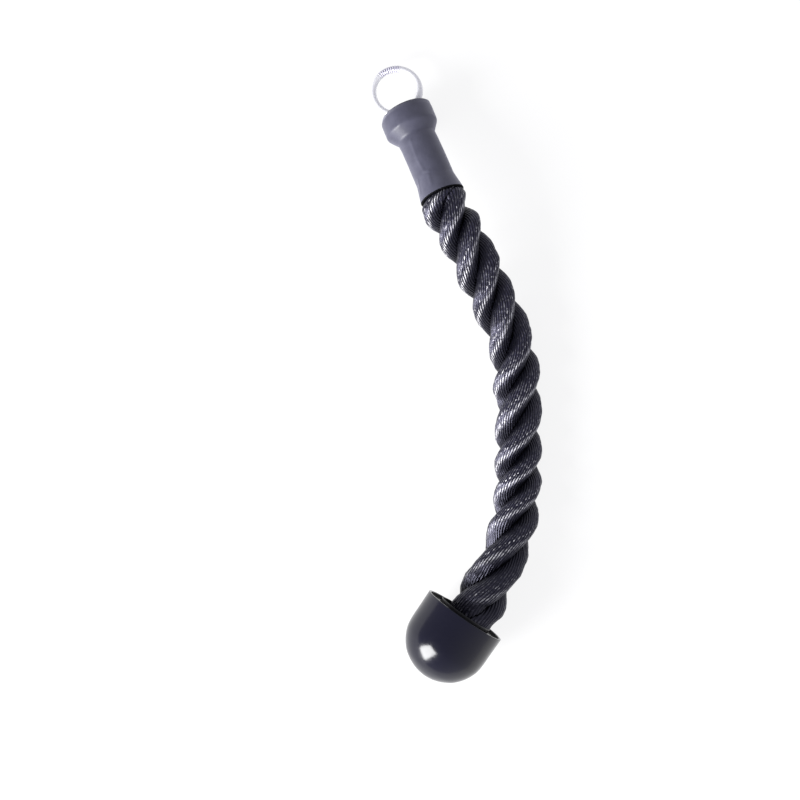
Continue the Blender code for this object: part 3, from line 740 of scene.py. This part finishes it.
def add_ring(layout):
    """The pull ring of round wire, with the stretch that its hook has worn into ridges."""
    middle_radius = (RING_INSIDE_DIAMETER + WIRE_DIAMETER) / 2
    outward = layout.ring_outward
    level = Vector((0, 0, 1)).cross(outward).normalized()
    middle = layout.mouth + outward * middle_radius
    turn = np.array((level, outward, level.cross(outward)))
    degrees = np.linspace(0, 360, RING_ROWS, endpoint=False)
    angle = np.radians(degrees)[:, None]
    worn = step_up((degrees - RIB_FROM) / RIB_FADE) * step_up((RIB_TO - degrees) / RIB_FADE)
    arc = np.radians(degrees) * middle_radius
    ribs = (1 + np.cos(arc / RIB_LENGTH * math.tau)) / 2
    wire = (WIRE_DIAMETER / 2 + worn * (RIB_SWELL + RIB_HEIGHT * (ribs - 1)))[:, None]
    around = np.linspace(0, math.tau, RING_COLUMNS, endpoint=False)[None, :]
    reach = middle_radius + wire * np.cos(around)
    grid = np.stack([reach * np.cos(angle), reach * np.sin(angle), -wire * np.sin(around)], axis=-1)
    points = grid.reshape(-1, 3) @ turn + np.array(middle)
    # The UV map's second value is how deep a point lies between ribs, for the ring's painted shade.
    ridges = np.append(worn * (1 - ribs), worn[0] * (1 - ribs[0]))
    uvs = grid_uvs(np.zeros(RING_COLUMNS + 1), ridges)
    ring = mesh_object("ring", points, grid_faces(RING_ROWS, RING_COLUMNS, wrap=True), uvs)
    ring.data.materials.append(ring_material())
    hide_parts("pull_ring")
    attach(ring, "ring")


def cap_outline():
    """The cap's outline from the dome's outer tip over the rim to the tip inside."""
    radius, cavity = CAP_DIAMETER / 2, CAP_DIAMETER / 2 - CAP_WALL
    seat, seat_depth = radius - CAP_LIP, LID_RECESS + LID_THICKNESS + GAP
    depth = CAP_DEPTH - CAP_FLOOR
    dome = [(radius, EDGE_ROUNDING)] + [(radius * r, CAP_DEPTH * d) for d, r in CAP_OUTSIDE_SHARES]
    tip_radius, tip_depth = dome[-1]
    curve = curve_through(dome + [(0, CAP_DEPTH), (-tip_radius, tip_depth)], CAP_STEP)
    outside = [(0, CAP_DEPTH)] + [tuple(p) for p in curve[::-1] if p[0] > CAP_STEP / 2]
    rim = [outside[-1], (radius, 0), (seat, 0), (seat, seat_depth), (cavity, seat_depth)]
    hollow = [(cavity * r, depth * d) for d, r in CAP_INSIDE_SHARES]
    edge = close_steps(with_arcs(rim + hollow[:1], EDGE_ROUNDING), CAP_STEP)
    return outside + edge[1:] + hollow[1:] + [(0, depth)]


def lid_outline():
    """The lid's closed outline: a flat plate with a raised boss round the rope."""
    edge, boss = CAP_DIAMETER / 2 - CAP_LIP - GAP, BOSS_DIAMETER / 2
    hole = ROPE_DIAMETER / 2 * ROPE_AT_CAP_SHARE + CAP_SHIFT + GAP
    top, back = LID_RECESS, LID_RECESS + LID_THICKNESS
    corners = [
        ((edge + hole) / 2, back),
        (edge, back),
        (edge, top),
        (boss, top),
        (boss, top - BOSS_HEIGHT),
        (hole, top - BOSS_HEIGHT),
        (hole, back),
        ((edge + hole) / 2, back),
    ]
    return close_steps(with_arcs(corners, EDGE_ROUNDING), CAP_STEP)[:-1]


def add_cap(layout):
    """The domed cap and the lid in its rim."""
    place = frame_at(layout.cap_middle, layout.cap_axis)
    cap = turned("cap", cap_outline(), place, CAP_COLUMNS)
    cap.data.materials.append(cap_material())
    lid = turned("lid", lid_outline(), place, CAP_COLUMNS)
    lid.data.materials.append(lid_material())
    for piece, node in ((cap, "end_cap"), (lid, "cap_lid")):
        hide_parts(node)
        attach(piece, "end")


class Nodes:
    """A material's node tree with short calls to add and link nodes."""

    def __init__(self, name):
        self.material = bpy.data.materials.new(name)
        self.material.use_nodes = True
        self.tree = self.material.node_tree
        self.shader = self.tree.nodes["Principled BSDF"]

    def add(self, kind, inputs=(), **settings):
        """A node with settings, and inputs given as values or as sockets to link."""
        node = self.tree.nodes.new(kind)
        for key, value in settings.items():
            setattr(node, key, value)
        for key, value in dict(inputs).items():
            self.put(node.inputs[key], value)
        return node

    def put(self, socket, value):
        """Links a socket to another, or sets its value."""
        if isinstance(value, bpy.types.NodeSocket):
            self.tree.links.new(value, socket)
        else:
            socket.default_value = value

    def shade(self, **inputs):
        """Sets the shader's sockets, named with underscores for spaces."""
        for key, value in inputs.items():
            self.put(self.shader.inputs[key.replace("_", " ")], value)

    def spread(self, value, low, high, new_low, new_high):
        """A value mapped from one range to another."""
        node = self.add("ShaderNodeMapRange", {"From Min": low, "From Max": high})
        self.put(node.inputs["Value"], value)
        node.inputs["To Min"].default_value = new_low
        node.inputs["To Max"].default_value = new_high
        return node.outputs["Result"]

    def math(self, operation, *values):
        """The result of a sum or other operation on values or sockets."""
        node = self.add("ShaderNodeMath", operation=operation)
        for socket, value in zip(node.inputs, values):
            self.put(socket, value)
        return node.outputs[0]

    def near(self, value, middle, width):
        """1 where a value is at the middle, falling to 0 at a width from it."""
        away = self.math("ABSOLUTE", self.math("SUBTRACT", value, middle))
        return self.spread(away, 0, width, 1, 0)

    def noise(self, place, waves, detail):
        """Smooth noise between 0 and 1 at a place."""
        inputs = {"Vector": place, "Scale": waves, "Detail": detail}
        return self.add("ShaderNodeTexNoise", inputs).outputs["Fac"]

    def grain(self, waves, detail):
        """Noise through a piece's own space."""
        return self.noise(self.add("ShaderNodeTexCoord").outputs["Object"], waves, detail)

    def yarn_noise(self, across, along, waves):
        """Noise on the yarns' UV map, stretched by its waves across and along."""
        place = self.add("ShaderNodeCombineXYZ", {"X": across, "Y": along}).outputs[0]
        stretched = self.add("ShaderNodeMapping", {"Vector": place, "Scale": (*waves, 1)}).outputs[0]
        return self.noise(stretched, 1, YARN_DETAIL)

    def bump(self, height, strength, distance):
        """A normal tilted as if the surface rose by a height."""
        inputs = {"Height": height, "Strength": strength, "Distance": distance}
        return self.add("ShaderNodeBump", inputs).outputs["Normal"]

    def mix(self, factor, first, second):
        """A colour between two colours."""
        node = self.add("ShaderNodeMix", data_type="RGBA")
        self.put(node.inputs["Factor"], factor)
        self.put(node.inputs["A"], first)
        self.put(node.inputs["B"], second)
        return node.outputs[2]


def painted_highlight_share(nodes, layout, along, dashes):
    """How far the yarns are painted pale as highlights: in two rows along each strand, and faintly elsewhere as
    pale flecks that are partly painted glints.
    """
    # Painted highlights: a low row on the lamp's side of each strand, a high row on its crest, and faint pale
    # flecks.
    fleck = nodes.spread(dashes, *FLECK_RANGE, 0, 1)
    painted_shine = nodes.spread(dashes, *PAINTED_HIGHLIGHT_RANGE, LEAST_PAINTED_HIGHLIGHT_SHARE, 1)
    lean = nodes.add("ShaderNodeAttribute", attribute_name="lean").outputs["Fac"]
    low_row = nodes.math("MULTIPLY", nodes.near(lean, LOW_ROW, LOW_ROW_WIDTH), painted_shine)
    high_row = nodes.math("MULTIPLY", nodes.near(lean, HIGH_ROW, HIGH_ROW_WIDTH), fleck)
    last = (layout.free_length - ROWS_END_BEFORE_CAP) / ROPE_DIAMETER
    before_cap = nodes.spread(along, last, last + ROWS_FADE / ROPE_DIAMETER, 1, 0)
    rows = nodes.math("MULTIPLY", nodes.math("MAXIMUM", low_row, high_row), before_cap)
    return nodes.math("MAXIMUM", rows, nodes.math("MULTIPLY", fleck, FLECK_SHARE))


def share_left_by_painted_shade(nodes, layout, along, crest):
    """How much of the yarns' colour shows: less under painted shade in grooves and furrows, under the sleeve's
    painted shadow, and near the cap.
    """
    openness = nodes.add("ShaderNodeAttribute", attribute_name="openness").outputs["Fac"]
    # Painted shade in the grooves between strands.
    clear = nodes.spread(openness, *GROOVE_SHADE_SHARES, LEAST_SHARE_IN_GROOVE_SHADE, 1)
    # Painted shadow of the sleeve where the rope leaves it.
    past_sleeve = nodes.spread(along, 0, PAINTED_SHADOW_PAST_SLEEVE / ROPE_DIAMETER, 0, 1)
    # Painted shade in the furrows between yarns.
    raised = nodes.math("MULTIPLY", nodes.spread(crest, *FURROW_SHADE_SHARES, 0, 1), past_sleeve)
    shade_starts = (layout.free_length - SHADE_STARTS_BEFORE_CAP) / ROPE_DIAMETER
    shade_full = (layout.free_length - SHADE_FULL_BEFORE_CAP) / ROPE_DIAMETER
    shade = nodes.spread(along, shade_starts, shade_full, 1, SHADE_SHARE)
    return nodes.math("MULTIPLY", nodes.math("MULTIPLY", clear, raised), shade)


def yarn_material(layout):
    """Black filament yarn: fine filaments run round each yarn, rows of yarns are painted pale as highlights, and
    grooves and furrows get painted shade.

    On its UV map one unit is a yarn across and a rope diameter along.
    """
    nodes = Nodes("rope_yarn_black")
    place = nodes.add("ShaderNodeUVMap", uv_map="UVMap").outputs["UV"]
    parts = nodes.add("ShaderNodeSeparateXYZ", {"Vector": place})
    across, along = parts.outputs["X"], parts.outputs["Y"]
    own = nodes.add("ShaderNodeTexWhiteNoise", {"W": nodes.math("FLOOR", across)}, noise_dimensions="1D")
    moved = nodes.math("MULTIPLY_ADD", own.outputs["Value"], YARN_OFFSET, along)
    twisted = nodes.math("MULTIPLY_ADD", along, FILAMENT_TWIST, across)
    filaments = nodes.yarn_noise(twisted, moved, FILAMENT_WAVES)
    dashes = nodes.yarn_noise(across, moved, DASH_WAVES)
    crest = nodes.math("PINGPONG", nodes.math("FRACT", across), YARN_MIDDLE_SHARE)
    on_top = nodes.spread(crest, *TOP_SHARES, 0, 1)
    # Painted highlight on the yarns' tops.
    painted_shine = nodes.math("MULTIPLY", painted_highlight_share(nodes, layout, along, dashes), on_top)
    plain = nodes.mix(nodes.spread(filaments, *FILAMENT_RANGE, 0, 1), YARN_DARK, YARN_PALE)
    top = nodes.mix(painted_shine, plain, YARN_PAINTED_HIGHLIGHT)
    nodes.shade(
        Base_Color=nodes.mix(share_left_by_painted_shade(nodes, layout, along, crest), YARN_PAINTED_SHADE, top),
        Roughness=nodes.spread(dashes, *NOISE_RANGE, *YARN_ROUGHNESS),
        IOR=YARN_IOR,
        Specular_IOR_Level=YARN_GLOSS,
        Specular_Tint=YARN_GLOSS_TINT,
        Normal=nodes.bump(filaments, *YARN_BUMP),
    )
    return nodes.material


def sleeve_material():
    """Dull grey-violet plastic with a fine grain."""
    nodes = Nodes("sleeve_dull_violet")
    cloud = nodes.grain(*SLEEVE_CLOUD)
    nodes.shade(
        Base_Color=nodes.mix(nodes.spread(cloud, *SLEEVE_CLOUD_RANGE, 0, 1), SLEEVE_DARK, SLEEVE_PALE),
        Roughness=nodes.spread(cloud, *NOISE_RANGE, *SLEEVE_ROUGHNESS),
        Normal=nodes.bump(nodes.grain(*SLEEVE_GRAIN), *SLEEVE_BUMP),
        Sheen_Weight=SHEEN_SHARE,
        Sheen_Roughness=SHEEN_ROUGHNESS,
        Sheen_Tint=SHEEN_TINT,
    )
    return nodes.material


def sleeve_edge_shade_material():
    """The sleeve's edges at its mouth and at the rope: painted shade, nearly black and rough."""
    nodes = Nodes("sleeve_edge_painted_shade")
    rough = nodes.spread(nodes.grain(*SLEEVE_GRAIN), *NOISE_RANGE, *CUT_ROUGHNESS)
    nodes.shade(Base_Color=SLEEVE_EDGE_SHADE, Roughness=rough, Specular_IOR_Level=CUT_SPECULAR)
    return nodes.material


def ring_material():
    """Bright plated wire with a soft bloom, with painted shade where its UV map says that the ribs go in."""
    nodes = Nodes("ring_bright_plate")
    rough = nodes.spread(nodes.grain(*RING_BLOOM), *NOISE_RANGE, *RING_ROUGHNESS)
    place = nodes.add("ShaderNodeUVMap", uv_map="UVMap").outputs["UV"]
    worn = nodes.add("ShaderNodeSeparateXYZ", {"Vector": place}).outputs["Y"]
    # Painted shade in the valleys between the ribs.
    colour = nodes.mix(worn, RING_PLATE, RING_RIB_SHADE)
    nodes.shade(Base_Color=colour, Metallic=RING_METALLIC, Roughness=rough)
    return nodes.material


def cap_material():
    """Glossy near-black plastic, with a faint waviness left by its mould."""
    nodes = Nodes("cap_gloss_black")
    nodes.shade(
        Base_Color=CAP_COLOUR,
        Roughness=nodes.spread(nodes.grain(*CAP_DUST), *CAP_DUST_RANGE, *CAP_ROUGHNESS),
        IOR=CAP_IOR,
        Normal=nodes.bump(nodes.grain(*CAP_WAVE), *CAP_BUMP),
    )
    return nodes.material


def lid_material():
    """The lid's plastic, with a finer grain than the cap's."""
    nodes = Nodes("lid_satin_black")
    grain = nodes.grain(*LID_GRAIN)
    rough = nodes.spread(grain, *NOISE_RANGE, *LID_ROUGHNESS)
    nodes.shade(Base_Color=LID_COLOUR, Roughness=rough, Normal=nodes.bump(grain, *LID_BUMP))
    return nodes.material


def metal_material(name, colour, roughness, noise):
    """Plated or drawn metal, dulled in fine patches."""
    nodes = Nodes(name)
    patch = nodes.grain(*noise)
    rough = nodes.spread(patch, *NOISE_RANGE, *roughness)
    nodes.shade(Base_Color=colour, Metallic=1, Roughness=rough, Normal=nodes.bump(patch, *METAL_BUMP))
    return nodes.material


def dress_kept_nodes():
    """Materials for the metal pieces whose CAD shapes stay."""
    dressed = {
        ZINC: ("eye_washer", "eye_nut", "stop_washer"),
        EYE_PLATE: ("eye_bolt",),
        DRAWN_METAL: ("ferrule", "crimp_band"),
    }
    for metal, pieces in dressed.items():
        material = metal_material(*metal)
        for piece in pieces:
            slots = frame["nodes"][piece].data.materials
            slots.clear()
            slots.append(material)


def add_camera(layout):
    """A camera straight above the table, at the photograph's distance and focal length."""
    camera = bpy.data.cameras.new("camera")
    camera.sensor_width = SENSOR_WIDTH
    camera.lens = SENSOR_WIDTH * FOCAL_PIXELS / PICTURE_PIXELS
    thing = bpy.data.objects.new("camera", camera)
    metres_a_pixel = CAMERA_HEIGHT / FOCAL_PIXELS
    right = (SLEEVE_END_PIXEL[0] - PICTURE_PIXELS / 2) * metres_a_pixel
    up = (PICTURE_PIXELS / 2 - SLEEVE_END_PIXEL[1]) * metres_a_pixel
    thing.location = (layout.sleeve_end.x - right, layout.sleeve_end.y - up, CAMERA_HEIGHT)
    bpy.context.scene.collection.objects.link(thing)
    bpy.context.scene.camera = thing


def add_light(name, towards, distance, size, power):
    """A soft rectangular light in a direction from the table's middle, aimed at it."""
    light = bpy.data.lights.new(name, "AREA")
    light.shape = "RECTANGLE"
    light.size, light.size_y = size
    light.energy = power
    thing = bpy.data.objects.new(name, light)
    place = Vector(towards).normalized() * distance
    thing.matrix_world = Matrix.Translation(place) @ place.to_track_quat("Z", "Y").to_matrix().to_4x4()
    bpy.context.scene.collection.objects.link(thing)


def add_world():
    """A plain surround, paler low down and on the right, and darker overhead."""
    world = bpy.data.worlds.new("world")
    bpy.context.scene.world = world
    world.use_nodes = True
    tree = world.node_tree
    way = tree.nodes.new("ShaderNodeTexCoord")
    towards = tree.nodes.new("ShaderNodeVectorMath")
    towards.operation = "DOT_PRODUCT"
    towards.inputs[1].default_value = WORLD_PALE_SIDE
    level = tree.nodes.new("ShaderNodeMapRange")
    level.inputs["From Min"].default_value = -1
    level.inputs["To Min"].default_value = WORLD_LEAST
    level.inputs["To Max"].default_value = WORLD_MOST
    background = tree.nodes["Background"]
    background.inputs["Color"].default_value = WORLD_COLOUR
    tree.links.new(way.outputs["Generated"], towards.inputs[0])
    tree.links.new(towards.outputs["Value"], level.inputs["Value"])
    tree.links.new(level.outputs["Result"], background.inputs["Strength"])


def add_floor():
    """A white table that keeps a faint shadow."""
    half = FLOOR_REACH
    points = [(-half, -half, 0), (half, -half, 0), (half, half, 0), (-half, half, 0)]
    floor = mesh_object("floor", points, [(0, 1, 2, 3)])
    nodes = Nodes("floor_white")
    rays = nodes.add("ShaderNodeLightPath").outputs
    seen = nodes.math("MAXIMUM", rays["Is Camera Ray"], rays["Is Glossy Ray"])
    seen = nodes.math("MAXIMUM", seen, rays["Is Transmission Ray"])
    nodes.shade(
        Base_Color=FLOOR_COLOUR,
        Roughness=1,
        Specular_IOR_Level=0,
        Emission_Color=FLOOR_LIGHT,
        Emission_Strength=nodes.math("MULTIPLY", seen, FLOOR_GLOW),
    )
    floor.data.materials.append(nodes.material)


layout = Layout()
add_camera(layout)
add_rope(layout)
add_sleeve(layout)
add_ring(layout)
add_cap(layout)
dress_kept_nodes()
add_floor()
add_world()
add_light("key", KEY_TOWARDS, KEY_DISTANCE, KEY_SIZE, KEY_POWER)
bpy.context.scene.view_settings.view_transform = "Standard"
